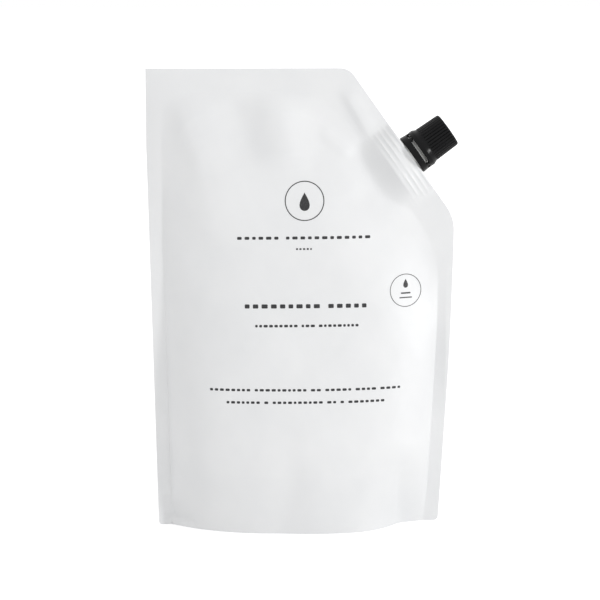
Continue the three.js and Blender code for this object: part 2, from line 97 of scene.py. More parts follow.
class NodeBench:
    def __init__(self, name):
        self.material = bpy.data.materials.new(name)
        self.material.use_nodes = True
        self.nodes = self.material.node_tree.nodes
        self.links = self.material.node_tree.links
        self.shader = self.nodes["Principled BSDF"]
        self.place = self.nodes.new("ShaderNodeTexCoord").outputs["Object"]

    def join(self, value, socket):
        if isinstance(value, bpy.types.NodeSocket):
            self.links.new(value, socket)
        else:
            socket.default_value = value

    def noise(self, size, detail=2.0, stretch=None):
        node = self.nodes.new("ShaderNodeTexNoise")
        node.inputs["Scale"].default_value = 1 / (size * mm)
        node.inputs["Detail"].default_value = detail
        place = self.place
        if stretch:
            mapping = self.nodes.new("ShaderNodeMapping")
            mapping.inputs["Scale"].default_value = stretch
            self.links.new(place, mapping.inputs["Vector"])
            place = mapping.outputs["Vector"]
        self.links.new(place, node.inputs["Vector"])
        return node.outputs["Fac"]

    def spread(self, value, low, high, fromLow=0.3, fromHigh=0.7):
        node = self.nodes.new("ShaderNodeMapRange")
        node.inputs["From Min"].default_value = fromLow
        node.inputs["From Max"].default_value = fromHigh
        node.inputs["To Min"].default_value = low
        node.inputs["To Max"].default_value = high
        self.join(value, node.inputs["Value"])
        return node.outputs["Result"]

    def math(self, kind, first, second):
        node = self.nodes.new("ShaderNodeMath")
        node.operation = kind
        self.join(first, node.inputs[0])
        self.join(second, node.inputs[1])
        return node.outputs["Value"]

    def blendColour(self, share, first, second):
        node = self.nodes.new("ShaderNodeMix")
        node.data_type = "RGBA"
        self.join(share, node.inputs["Factor"])
        for colour, socket in ((first, node.inputs["A"]), (second, node.inputs["B"])):
            self.join(colour if isinstance(colour, bpy.types.NodeSocket) else (*colour, 1.0), socket)
        return node.outputs["Result"]

    def bump(self, height, distance, under=None):
        node = self.nodes.new("ShaderNodeBump")
        node.inputs["Distance"].default_value = distance * mm
        self.join(height, node.inputs["Height"])
        if under is not None:
            self.links.new(under, node.inputs["Normal"])
        return node.outputs["Normal"]


filmFinish = {
    "colour": (0.83, 0.835, 0.84),
    "shadeColour": (0.79, 0.797, 0.805),
    "patches": 34,
    "roughness": (0.40, 0.50),
    "mottle": 2.2,
    "creases": 11, "creaseDepth": 0.05,
    "grain": 0.35, "grainDepth": 0.006,  # the fine grain that the film was rolled with
}


def filmMaterial(finish):
    bench = NodeBench("white laminated film")
    patches = bench.spread(bench.noise(finish["patches"], 3), 0, 1)
    colour = bench.blendColour(patches, finish["colour"], finish["shadeColour"])
    bench.join(colour, bench.shader.inputs["Base Color"])
    mottle = bench.noise(finish["mottle"], 4)
    bench.join(bench.spread(mottle, *finish["roughness"]), bench.shader.inputs["Roughness"])
    handling = bench.bump(bench.noise(finish["creases"], 5, (1.0, 1.0, 0.6)), finish["creaseDepth"])
    grain = bench.bump(bench.noise(finish["grain"], 2), finish["grainDepth"], under=handling)
    bench.join(grain, bench.shader.inputs["Normal"])
    return bench.material


rimFinish = {
    "colour": (0.70, 0.705, 0.71),
    "lineColour": (0.45, 0.455, 0.46),
    "layers": 0.5,
    "roughness": (0.45, 0.6),
    "mottle": 0.9,
    "grain": 0.3, "grainDepth": 0.03,
}


def rimMaterial(finish):
    bench = NodeBench("cut edge of the film")
    layers = bench.spread(bench.noise(finish["layers"], 3), 0, 1, 0.4, 0.65)
    colour = bench.blendColour(layers, finish["colour"], finish["lineColour"])
    bench.join(colour, bench.shader.inputs["Base Color"])
    mottle = bench.noise(finish["mottle"], 3)
    bench.join(bench.spread(mottle, *finish["roughness"]), bench.shader.inputs["Roughness"])
    grain = bench.bump(bench.noise(finish["grain"], 2), finish["grainDepth"])
    bench.join(grain, bench.shader.inputs["Normal"])
    return bench.material


def mouldedMaterial(name, finish):
    bench = NodeBench(name)
    flow = bench.spread(bench.noise(finish["flow"], 3), 0, 1)
    colour = bench.blendColour(flow, finish["colour"], finish["shadeColour"])
    bench.join(colour, bench.shader.inputs["Base Color"])
    mottle = bench.noise(finish["mottle"], 4)
    bench.join(bench.spread(mottle, *finish["roughness"]), bench.shader.inputs["Roughness"])
    swell = bench.bump(bench.noise(finish["swell"], 2), finish["swellDepth"])
    grain = bench.bump(bench.noise(finish["grain"], 2), finish["grainDepth"], under=swell)
    bench.join(grain, bench.shader.inputs["Normal"])
    bench.shader.inputs["Specular IOR Level"].default_value = finish["gloss"]
    return bench.material


mouldedSurface = {
    "flow": 6,
    "mottle": 0.8,
    "swell": 3.5, "swellDepth": 0.02,
    "grain": 0.18, "grainDepth": 0.004,
}
capFinish = {
    "colour": (0.003, 0.003, 0.0035),
    "shadeColour": (0.005, 0.005, 0.0055),
    "roughness": (0.2, 0.28),
    "gloss": 0.16,
    **mouldedSurface,
}
spoutFinish = {
    "colour": (0.80, 0.80, 0.79),
    "shadeColour": (0.76, 0.76, 0.745),
    "roughness": (0.38, 0.50),
    "gloss": 0.5,
    **mouldedSurface,
}
inkFinish = {
    "colour": (0.018, 0.018, 0.02),
    "thinColour": (0.06, 0.06, 0.064),
    "cover": 0.7,
    "roughness": (0.42, 0.55),
    "mottle": 1.4,
}


def inkMaterial(finish):
    bench = NodeBench("black printing ink")
    cover = bench.spread(bench.noise(finish["cover"], 4), 0, 1, 0.45, 0.8)
    colour = bench.blendColour(cover, finish["colour"], finish["thinColour"])
    bench.join(colour, bench.shader.inputs["Base Color"])
    mottle = bench.noise(finish["mottle"], 3)
    bench.join(bench.spread(mottle, *finish["roughness"]), bench.shader.inputs["Roughness"])
    grain = bench.bump(bench.noise(filmFinish["grain"], 2), filmFinish["grainDepth"])
    bench.join(grain, bench.shader.inputs["Normal"])
    return bench.material


white = filmMaterial(filmFinish)
rim = rimMaterial(rimFinish)
black = mouldedMaterial("black moulded cap plastic", capFinish)
spoutWhite = mouldedMaterial("white moulded spout plastic", spoutFinish)
ink = inkMaterial(inkFinish)


# Meshes

def makePiece(name, points, faces, materials, sharpAngle=35, faceMaterials=None):
    mesh = bpy.data.meshes.new(name)
    mesh.from_pydata((np.asarray(points) * mm).tolist(), [], faces)
    for material in materials:
        mesh.materials.append(material)
    if faceMaterials is not None:
        mesh.polygons.foreach_set("material_index", np.asarray(faceMaterials, dtype=np.int32))
    mesh.polygons.foreach_set("use_smooth", [True] * len(mesh.polygons))
    mesh.set_sharp_from_angle(angle=math.radians(sharpAngle))
    mesh.validate()
    mesh.update()
    piece = bpy.data.objects.new(name, mesh)
    bpy.context.scene.collection.objects.link(piece)
    return piece


# Faces between rings of equally many points, the last ring joined to the first where it is a loop
def ringFaces(ringCount, pointCount, isLoop):
    faces = []
    for i in range(ringCount if isLoop else ringCount - 1):
        j = (i + 1) % ringCount
        for k in range(pointCount):
            n = (k + 1) % pointCount
            faces.append((i * pointCount + k, i * pointCount + n, j * pointCount + n, j * pointCount + k))
    return faces


# The pouch

pouchSizes = {
    "width": 160, "height": 240,
    "leftDrawIn": 4.7, "leftDrawInHeight": 200,   # how far the filled body pulls each side seam in
    "rightDrawIn": 7.1, "rightDrawInCurve": 1.35,
    "bottomCorner": 2,
    "cutAcross": 55.2, "cutDown": 77.5, "cutTopRadius": 9, "cutSideRadius": 22,
    "ply": 0.3,
    "sideSeal": 7, "topSeal": 12, "spoutSeal": 15,
    "bellyDepth": 26, "bellyHeight": 30, "bellyTaper": 0.85,
    "sectionPower": (2.6, 3.1), "sectionRoundness": (0.62, 1.0),  # at the belly and at the top
    "baseDepth": 25, "baseMiddle": 8,             # the bottom edges, and where they bow out furthest
    "baseEndLeft": 6.4, "baseEndRight": 18.3,     # where they meet, in from each side seam's edge
    "baseCurveLeft": 2.8, "baseCurveRight": 3.2,
    "baseBlend": 55, "baseBlendLeft": 40, "baseBlendRight": 46,   # heights over which the body takes over
    "endBlendFrom": 0.3, "endBlendRunOut": 0.6,
    "tailLeft": 0.02, "tailRight": 0.2, "tailRunOut": 0.3, "tailRounding": 0.05,
    "curl": 3.4, "curlHeight": 90, "curlWidth": 60,               # of the left seam's foot, to the front
    "cutInflation": 50,
    "filledFrom": 1.5, "foldRounding": 0.6,       # depth of body from which folds show in full
    "ripples": ((0.16, 22, 60), (0.035, 8, 20)),  # height, shortest and longest wave
    "frontSeed": 5, "backSeed": 9,
    "skirtMiddle": 7, "skirtEnds": 22, "gussetMiddle": 2, "gussetEnds": 30,
    "recessLeast": 3, "recessRunOut": 5,          # half the gap between the bottom edges, at its ends
    "spoutOffset": 8.2,                           # the spout's axis, down from the middle of the cut
    "boatLength": 40, "boatHalf": 8.2, "boatTipHalf": 0.5, "boatDepth": 10.2, "boatSetBack": 0.2,
    "filmGap": 0.9, "filmGapAtTips": 0.42, "gapRunOut": 7,
    "boatRunOut": 26, "boatRunOutCurve": 2.4, "boatTipRunOut": 5, "pocketUnderBoat": 1.3,
    "collar": 1.6, "collarLength": 11, "collarDepth": 6,
    "ribs": 4, "ribPitch": 2.8, "ribWidth": 1.0, "ribHeight": 0.45, "ribInset": 0.4,  # on the weld base
    "ribShow": 0.55, "ribHalfWidth": 0.62, "ribEnds": 5,          # pressed through the film
    "ribShareInMiddle": 0.35, "ribMiddle": 1, "ribMiddleLength": 9,
    "lipFold": 0.42, "lipDepth": 3, "lipFrom": 0.8, "lipRunOut": 1.5,
    "floorRows": (0, 0.2, 0.6, 1.1, 1.6, 2.1, 2.6, 3.1, 3.6, 4.2, 5), "rowStep": 1.15,
    "sealColumns": (0, 0.5, 2, 4, 5.5, 6.4, 7, 7.6, 8.4, 9.4, 10.6, 11.8, 13), "columnStep": 1.15,
    "ribColumnStep": 0.41, "besideRibsStep": 0.9,
    "wallSteps": 17, "wallCrowding": 1.7, "archShares": (0.93, 0.8, 0.6, 0.4, 0.2, 0.0),
}
p = SimpleNamespace(**pouchSizes)

halfWidth = p.width / 2
cutLength = math.hypot(p.cutAcross, p.cutDown)
cutAngle = math.atan2(p.cutDown, p.cutAcross)
alongX, alongZ = math.cos(cutAngle), -math.sin(cutAngle)  # down the cut edge
outX, outZ = math.sin(cutAngle), math.cos(cutAngle)       # the spout's axis
cutStartX = halfWidth - p.cutAcross
spoutAlongCut = cutLength / 2 + p.spoutOffset
footX = cutStartX + spoutAlongCut * alongX
footZ = p.height + spoutAlongCut * alongZ
sideFilletX = halfWidth - p.cutSideRadius
sideFilletZ = p.height - (p.cutSideRadius + (sideFilletX - cutStartX) * outX) / outZ
sideFilletTop = sideFilletZ + p.cutSideRadius * outZ
topFilletX = cutStartX + (p.cutTopRadius * outZ - p.cutTopRadius) / outX
topFilletZ = p.height - p.cutTopRadius
topFilletStart = topFilletZ + p.cutTopRadius * outZ
reachLeft = halfWidth - p.leftDrawIn - p.baseEndLeft + p.baseMiddle
reachRight = halfWidth - p.rightDrawIn - p.baseEndRight - p.baseMiddle
sealLeft = halfWidth - p.leftDrawIn - p.sideSeal + p.baseMiddle
sealRight = halfWidth - p.rightDrawIn - p.sideSeal - p.baseMiddle
boatHalfLength = p.boatLength / 2
firstRib = p.boatSetBack + p.ribWidth / 2
pocketFloor = p.boatDepth + p.boatSetBack + p.pocketUnderBoat


def leftWidthAt(z):
    return halfWidth - p.leftDrawIn * np.maximum(0, 1 - z / p.leftDrawInHeight)


def rightWidthAt(z):
    return halfWidth - p.rightDrawIn * np.maximum(0, 1 - z / sideFilletZ) ** p.rightDrawInCurve


def bottomInset(z):
    below = np.maximum(0, p.bottomCorner - z)
    return p.bottomCorner - np.sqrt(p.bottomCorner ** 2 - below ** 2)


def leftEdgeAt(z):
    return bottomInset(z) - leftWidthAt(z)


def rightEdgeAt(z):
    side = rightWidthAt(z) - bottomInset(z)
    rounded = sideFilletX + np.sqrt(np.maximum(0, p.cutSideRadius ** 2 - (z - sideFilletZ) ** 2))
    straight = cutStartX + (p.height - z) * alongX / -alongZ
    top = topFilletX + np.sqrt(np.maximum(0, p.cutTopRadius ** 2 - (z - topFilletZ) ** 2))
    choice = [z <= sideFilletZ, z <= sideFilletTop, z <= topFilletStart]
    return np.select(choice, [side, rounded, straight], top)


# How much further across the right edge a given depth inside it reaches
def rightSlant(z):
    lean = np.sqrt(np.maximum(0.01, 1 - ((z - sideFilletZ) / p.cutSideRadius) ** 2))
    return np.select([z <= sideFilletZ, z >= sideFilletTop], [1.0 + 0 * z, 1 / outX + 0 * z], 1 / lean)


# Place along the cut from the spout's axis, and depth inside the cut edge
def cutPlace(x, z):
    dx, dz = x - footX, z - footZ
    return dx * alongX + dz * alongZ, -(dx * outX + dz * outZ)


# 0 where the bottom edges bow out furthest, 1 where they meet
def shareToBaseEnd(x):
    return np.where(x > p.baseMiddle, (x - p.baseMiddle) / reachRight, (p.baseMiddle - x) / reachLeft)


# Shape of the bottom edges seen from above, with a thin tail that runs on to the side seals
def baseBow(x):
    onRight = x > p.baseMiddle
    beyond = shareToBaseEnd(x)
    curve = np.where(onRight, p.baseCurveRight, p.baseCurveLeft)
    sealStart = np.where(onRight, sealRight / reachRight, sealLeft / reachLeft)
    tail = np.where(onRight, p.tailRight, p.tailLeft) * clamp01((sealStart - beyond) / p.tailRunOut)
    over = 1 - np.maximum(0, beyond) ** curve - tail
    return tail + (over + np.sqrt(over ** 2 + p.tailRounding ** 2)) / 2 * (beyond < sealStart)


# From the middle sheet to either panel, before its folds
def bodyDepth(x, z):
    height = clamp01((z - p.bellyHeight) / (p.height - p.topSeal - p.bellyHeight))
    width = np.where(x < 0, leftWidthAt(z), rightWidthAt(z))
    across = clamp01(np.abs(x) / (width - p.sideSeal))
    inside = cutPlace(x, z)[1] - p.spoutSeal
    nearCut = 1 - (1 - clamp01(inside / p.cutInflation)) ** 2
    shape = (1 - across ** mix(*p.sectionPower, height)) ** mix(*p.sectionRoundness, height)
    belly = p.bellyDepth * (1 - height) ** p.bellyTaper * shape * nearCut
    endBlend = np.where(x > p.baseMiddle, p.baseBlendRight, p.baseBlendLeft)
    blend = mix(p.baseBlend, endBlend, ease((shareToBaseEnd(x) - p.endBlendFrom) / p.endBlendRunOut))
    return mix(p.baseDepth * baseBow(x), belly, ease(z / blend))


# Folds of a panel, each from one place to another as (across from the middle, down from the top edge),
# with how far it spreads to its left and to its right. A height below zero is a hollow.
frontFolds = [
    {"start": (-64, 14), "end": (-51, 48), "spread": (8, 22), "height": 2.4},
    {"start": (-50, 50), "end": (-44, 88), "spread": (13, 26), "height": 2.2},
    {"start": (-38, 15), "end": (-27, 42), "spread": (12, 9), "height": -1.1},
    {"start": (-14, 13), "end": (-6, 47), "spread": (14, 12), "height": 3.3},
    {"start": (18, 40), "end": (24, 66), "spread": (12, 10), "height": 1.2},
    {"start": (-72, 234.5), "end": (-57, 236.5), "spread": (2.4, 5), "height": -1.7},
    {"start": (-3, 206), "end": (-14, 240), "spread": (9, 9), "height": -0.9},
    {"start": (3, 186), "end": (5, 236), "spread": (10, 16), "height": 0.9},
]
backFolds = [
    {"start": (-58, 14), "end": (-30, 64), "spread": (8, 14), "height": 2.6},
    {"start": (-38, 16), "end": (-8, 56), "spread": (9, 8), "height": -1.7},
    {"start": (4, 14), "end": (-6, 58), "spread": (9, 12), "height": 2.2},
    {"start": (30, 26), "end": (12, 50), "spread": (6, 7), "height": -1.4},
    {"start": (12, 204), "end": (20, 240), "spread": (10, 10), "height": -0.8},
]


# How far a fold runs on past its ends, and over how much it fades there, as shares of its length
foldPastEnd, foldFade = 0.25, 0.4


def foldHeight(folds, x, z):
    total = 0 * x
    for fold in folds:
        startX, startZ = fold["start"][0], p.height - fold["start"][1]
        runX, runZ = fold["end"][0] - startX, p.height - fold["end"][1] - startZ
        length = math.hypot(runX, runZ)
        share = ((x - startX) * runX + (z - startZ) * runZ) / length ** 2
        off = ((z - startZ) * runX - (x - startX) * runZ) / length  # below zero on its left
        left, right = fold["spread"]
        shape = np.exp(-(off / np.where(off < 0, left, right)) ** 2)
        start = ease((share + foldPastEnd) / foldFade)
        end = ease((1 + foldPastEnd - share) / foldFade)
        total = total + fold["height"] * start * end * shape
    return total


# Half the weld base's thickness at a place along the cut
def boatHalfAt(l):
    return mix(p.boatTipHalf, p.boatHalf, np.maximum(0, 1 - (l / boatHalfLength) ** 2))


# How far the weld base and its film draw in round the neck, at a place along the cut and a depth inside it
def collarAt(l, n):
    return p.collar * ease(1.2 - np.abs(l) / p.collarLength) * (1 - ease(n / p.collarDepth))


# Film pressed over the weld ribs: 1 on a rib's crest, 0 between two
def ribWave(n):
    nearest = np.clip(np.round((n - firstRib) / p.ribPitch), 0, p.ribs - 1)
    off = np.abs(n - firstRib - nearest * p.ribPitch) / p.ribHalfWidth
    return 1 / (1 + off ** 2) ** 1.5


def filmOverBoat(x, z):
    l, n = cutPlace(x, z)
    tips = ease((boatHalfLength + p.boatTipRunOut - np.abs(l)) / p.boatTipRunOut)
    belowBoat = (1 - clamp01((n - pocketFloor) / p.boatRunOut)) ** p.boatRunOutCurve
    ribs = p.ribShow * ribWave(n) * ease((boatHalfLength - np.abs(l)) / p.ribEnds + 0.3)
    ribs = ribs * mix(p.ribShareInMiddle, 1, ease(np.abs(l - p.ribMiddle) / p.ribMiddleLength))
    gap = mix(p.filmGapAtTips, p.filmGap, ease((boatHalfLength - np.abs(l)) / p.gapRunOut))
    return (boatHalfAt(l) - collarAt(l, n) + gap + ribs) * tips * belowBoat


# Low waves left in the film by handling, as a sum of seeded plane waves
def filmRipple(x, z, seed, shortest, longest, count=18):
    draw = np.random.default_rng(seed)
    total = 0 * x
    for _ in range(count):
        angle = draw.uniform(0, math.pi)
        length = draw.uniform(shortest, longest)
        phase = draw.uniform(0, fullTurn)
        total = total + np.sin(fullTurn * (x * math.cos(angle) + z * math.sin(angle)) / length + phase)
    return total / math.sqrt(count)


def panelDepth(x, z, folds, seed):
    body = bodyDepth(x, z)
    filled = clamp01(body / p.filledFrom)
    ripple = sum(height * filmRipple(x, z, seed + i, shortest, longest)
                 for i, (height, shortest, longest) in enumerate(p.ripples))
    folded = body + (foldHeight(folds, x, z) + ripple) * filled - p.ply
    rounded = p.ply + (folded + np.sqrt(folded ** 2 + (p.foldRounding * filled) ** 2)) / 2
    return softLarger(rounded, filmOverBoat(x, z))


# Where the seals bend as one sheet: height from the floor, how far up and down, distance across where
# it starts, width and side, and how far it goes back at the edge. One below zero comes forward.
sealBends = [
    {"height": 196, "reach": 40, "from": 60, "width": 20, "side": -1, "back": 2.4},
    {"height": 92, "reach": 30, "from": 62, "width": 14, "side": 1, "back": -2.2},
]
# Short creases that cross into the seals, as in the folds above
sealCreases = [
    {"start": (24, 14), "end": (35, 33), "spread": (3.2, 6), "height": 1.5},
    {"start": (12, 34), "end": (24, 43), "spread": (3, 4), "height": 0.7},
    {"start": (-70.5, 228), "end": (-70.5, 246), "spread": (5, 8), "height": -1.6},
    {"start": (-70, 236.6), "end": (-59, 237.3), "spread": (1.2, 2.8), "height": -0.9},
]


# The sheet half-way between both panels: the curl of the left seam's foot, and the seals' bends and creases
def middleSheet(x, z):
    low = clamp01(1 - z / p.curlHeight) ** 2
    left = clamp01((-x - (halfWidth - p.curlWidth)) / p.curlWidth) ** 2
    sheet = -p.curl * low * left - foldHeight(sealCreases, x, z)
    for bend in sealBends:
        level = np.exp(-((z - bend["height"]) / bend["reach"]) ** 2)
        sheet = sheet + bend["back"] * level * clamp01((bend["side"] * x - bend["from"]) / bend["width"]) ** 2
    return sheet


def frontOf(x, z):
    return middleSheet(x, z) - panelDepth(x, z, frontFolds, p.frontSeed)


def backOf(x, z):
    return middleSheet(x, z) + panelDepth(x, z, backFolds, p.backSeed)


# Heights of the pouch's points, from its top down
def pouchRows():
    rows = list(p.floorRows)
    rows += list(np.linspace(rows[-1], sideFilletZ, round(sideFilletZ / p.rowStep))[1:])
    cutRows = round((topFilletStart - sideFilletZ) / p.rowStep)
    rows += list(np.linspace(sideFilletZ, topFilletStart, cutRows)[1:])
    startAngle = math.pi / 2 - cutAngle
    rows += [topFilletZ + p.cutTopRadius * math.sin(a) for a in np.linspace(startAngle, math.pi / 2, 9)[1:]]
    return np.array(rows[::-1])


# Columns of the pouch, each a function from height to place across
def pouchColumns():
    left = p.sealColumns
    right = list(np.arange(0, pocketFloor + 3, p.ribColumnStep))
    right += list(np.arange(pocketFloor + 3.3, pocketFloor + 12, p.besideRibsStep))
    innerLeft, innerRight = left[-1], right[-1]
    count = round((p.width - innerLeft - innerRight - 10) / p.columnStep)

    def between(share):
        return lambda z: mix(leftEdgeAt(z) + innerLeft, rightEdgeAt(z) - innerRight * rightSlant(z), share)

    columns = [lambda z, inset=inset: leftEdgeAt(z) + inset for inset in left]
    columns += [between(share) for share in np.linspace(0, 1, count + 1)[1:-1]]
    columns += [lambda z, inset=inset: rightEdgeAt(z) - inset * rightSlant(z) for inset in right[::-1]]
    return columns


# From the front bottom edge to the back one under the gusset, as [x, y, z] at one column
def underside(columnAt):
    floor = np.array([0.0])
    foot = columnAt(floor)
    bow = float(baseBow(foot)[0])
    arch = np.array(p.archShares)
    if p.baseDepth * bow < p.recessLeast:
        count = 2 * (p.wallSteps + len(arch)) + 1
        y = np.linspace(frontOf(foot, floor)[0], backOf(foot, floor)[0], count)[1:-1]
        return np.stack([np.full_like(y, foot[0]), y, 0 * y], axis=1)
    closing = ease((p.baseDepth * bow - p.recessLeast) / p.recessRunOut)
    top = mix(p.skirtMiddle, p.skirtEnds, 1 - bow) * closing
    middle = mix(p.gussetMiddle, p.gussetEnds, 1 - bow) * closing

    def half(surface, side):
        z = top * np.linspace(0, 1, p.wallSteps) ** p.wallCrowding
        x = columnAt(z)
        sheet = middleSheet(x, z)
        y = surface(x, z) - sheet - side * 2 * p.ply
        zArch = mix(middle, top, arch ** 2)
        xArch = columnAt(zArch)
        yArch = arch * y[-1] + middleSheet(xArch, zArch)
        return np.stack([np.r_[x, xArch], np.r_[y + sheet, yArch], np.r_[z, zArch]], axis=1)

    return np.concatenate([half(frontOf, -1), half(backOf, 1)[:-1][::-1]])


def makePouch():
    rows = pouchRows()
    rings = []
    for columnAt in pouchColumns():
        x = columnAt(rows)
        front = np.stack([x, frontOf(x, rows), rows], axis=1)
        back = np.stack([x, backOf(x, rows), rows], axis=1)[::-1]
        rings.append(np.concatenate([front, underside(columnAt), back]))
    rowCount, count = len(rows), len(rings[0])
    rings += lipRings(rings[-1])
    faces = ringFaces(len(rings), count, False)
    isRim = [face[0] % count == count - 1 for face in faces]
    for ring, flip in ((0, True), (len(rings) - 1, False)):
        start = ring * count
        last = start + count - 1
        caps = [(start + i, last - i, last - i - 1, start + i + 1) for i in range(rowCount - 1)]
        caps.append(tuple(start + k for k in range(rowCount - 1, count - rowCount + 1)))
        faces += [face if flip else face[::-1] for face in caps]
        isRim += [True] * len(caps)
    return makePiece("pouch_film", np.concatenate(rings), faces, [white, rim], 40, isRim)


# The cut edge's own thickness: the film turns in and runs a little way down beside the weld base
def lipRings(edge):
    inner = edge.copy()
    sheet = middleSheet(edge[:, 0], edge[:, 2])
    y = edge[:, 1] - sheet
    inner[:, 1] = sheet + np.sign(y) * np.maximum(np.abs(y) - p.lipFold, 0.04 * (np.abs(y) > 0.04))
    depth = inner.copy()
    inset = p.lipDepth * ease((np.abs(y) - p.lipFrom) / p.lipRunOut) * (edge[:, 2] > sideFilletZ) + 0.02
    depth[:, 0] -= inset * outX
    depth[:, 2] -= inset * outZ
    return [inner, depth]


pouch = makePouch()
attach(pouch, "pack")
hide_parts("pouch")
print("pouch:", len(pouch.data.polygons), "faces")


# Print on the front: thin flat marks that follow the film. Places are across from the middle and down
# from the top.

printSizes = {
    "lift": 0.05, "sink": 0.08,
    "seed": 21, "dashSpread": (0.75, 1.25), "wordGap": 2.6,  # as shares of a row's dash and gap
    "emblem": {"place": (1.4, 67.6), "across": 20.5, "line": 0.5, "drop": (6.2, 9.4), "dropDown": 0.4},
    "badge": {"place": (54.2, 114.8), "across": 17, "line": 0.35, "drop": (3.0, 4.6), "dropDown": -3.6,
              "bars": [(-2.6, 2.6, 1.4, 0.8), (-3.4, 3.4, 3.7, 0.6)]},
    "rows": [                  # both ends across, drop to its middle, height of its dashes, words
        {"ends": (-33.5, 35.5), "drop": 86.5, "height": 1.5, "dash": 2.4, "gap": 1.5, "words": 2},
        {"ends": (-3.2, 5.0), "drop": 92.2, "height": 0.9, "dash": 1.2, "gap": 0.7, "words": 1},
        {"ends": (-29.8, 33.2), "drop": 121.5, "height": 2.1, "dash": 2.9, "gap": 1.7, "words": 2},
        {"ends": (-24.5, 29.0), "drop": 131.6, "height": 1.3, "dash": 1.8, "gap": 0.8, "words": 3},
        {"ends": (-48.0, 51.0), "drop": 164.6, "height": 1.25, "dash": 2.1, "gap": 0.9, "words": 6},
        {"ends": (-39.5, 42.5), "drop": 171.0, "height": 1.25, "dash": 2.1, "gap": 0.9, "words": 6},
    ],
}


# A closed thin slab through outlines from the outermost in, either filled in the middle or open there
def printMark(sheet, outlines, filled):
    count = len(outlines[0])
    first = len(sheet["points"])
    for outline in outlines:
        x, z = np.asarray(outline).T
        y = frontOf(x, z)
        sheet["points"] += np.stack([x, y - printSizes["lift"], z], axis=1).tolist()
        sheet["points"] += np.stack([x, y + printSizes["sink"], z], axis=1).tolist()

    def at(ring, k, under=False):
        return first + (2 * ring + under) * count + k % count

    last = len(outlines) - 1
    for k in range(count):
        for i in range(last):
            quad = ((i, k), (i, k + 1), (i + 1, k + 1), (i + 1, k))
            sheet["faces"].append(tuple(at(*place) for place in quad))
            sheet["faces"].append(tuple(at(*quad[n], True) for n in (0, 3, 2, 1)))
        sheet["faces"].append((at(0, k), at(0, k, True), at(0, k + 1, True), at(0, k + 1)))
        if not filled:
            sheet["faces"].append((at(last, k), at(last, k + 1), at(last, k + 1, True), at(last, k, True)))
    if filled:
        sheet["faces"].append(tuple(at(last, k) for k in range(count)))
        sheet["faces"].append(tuple(at(last, k, True) for k in reversed(range(count))))


def filledMark(sheet, outline, steps=(1, 0.66, 0.33, 0.08)):
    outline = np.asarray(outline)
    middle = outline.mean(axis=0)
    printMark(sheet, [middle + (outline - middle) * step for step in steps], True)


def printedRing(sheet, place, across, line):
    angle = np.linspace(0, fullTurn, 73)[:-1]
    direction = np.stack([np.cos(angle), np.sin(angle)], axis=1)
    printMark(sheet, [place + direction * across / 2, place + direction * (across / 2 - line)], False)


def printedDrop(sheet, place, size):
    width, height = size
    angle = np.linspace(0, fullTurn, 41)[:-1]
    x = width / 2 * np.sin(angle) * np.sin(angle / 2) ** 1.3 * 1.16
    filledMark(sheet, place + np.stack([x, height / 2 * np.cos(angle)], axis=1))


def printedDash(sheet, left, right, middle, height):
    half, corner = height / 2, min(0.3, height / 4)
    corners = [(left, corner - half), (left + corner, -half), (right - corner, -half), (right, corner - half),
               (right, half - corner), (right - corner, half), (left + corner, half), (left, half - corner)]
    filledMark(sheet, [(x, middle + z) for x, z in corners], (1, 0.3))


def printedRow(sheet, row, draw):
    left, right = row["ends"]
    middle = p.height - row["drop"]
    dashes = max(row["words"], round((right - left + row["gap"]) / (row["dash"] + row["gap"])))
    wordEnds = draw.choice(np.arange(2, dashes - 2), row["words"] - 1, replace=False)
    widths = draw.uniform(*printSizes["dashSpread"], dashes)
    wordGap = printSizes["wordGap"]
    gaps = np.array([wordGap if i + 1 in wordEnds else 1.0 for i in range(dashes - 1)]) * row["gap"]
    widths *= (right - left - gaps.sum()) / widths.sum()
    x = left
    for i, width in enumerate(widths):
        printedDash(sheet, x, x + width, middle, row["height"])
        x += width + (gaps[i] if i < dashes - 1 else 0)


def makePrint():
    sheet = {"points": [], "faces": []}
    draw = np.random.default_rng(printSizes["seed"])
    for kind in ("emblem", "badge"):
        mark = printSizes[kind]
        place = np.array([mark["place"][0], p.height - mark["place"][1]])
        printedRing(sheet, place, mark["across"], mark["line"])
        printedDrop(sheet, place - (0, mark["dropDown"]), mark["drop"])
        for left, right, down, height in mark.get("bars", []):
            printedDash(sheet, place[0] + left, place[0] + right, place[1] - down, height)
    for row in printSizes["rows"]:
        printedRow(sheet, row, draw)
    return makePiece("printed_marks", sheet["points"], sheet["faces"], [ink], 40)


marks = makePrint()
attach(marks, "pack")
print("print:", len(marks.data.polygons), "faces")


# Closure pieces are made in the spout's own frame: along the cut, front to back, and out along the axis

def placeOnCut(points):
    points = np.asarray(points)
    along, across, out = points[:, 0], points[:, 1], points[:, 2]
    x = footX + along * alongX + out * outX
    z = footZ + along * alongZ + out * outZ
    return np.stack([x, across, z], axis=1)


def circle(count):
    angle = np.arange(count) / count * fullTurn
    return angle, np.cos(angle), np.sin(angle)


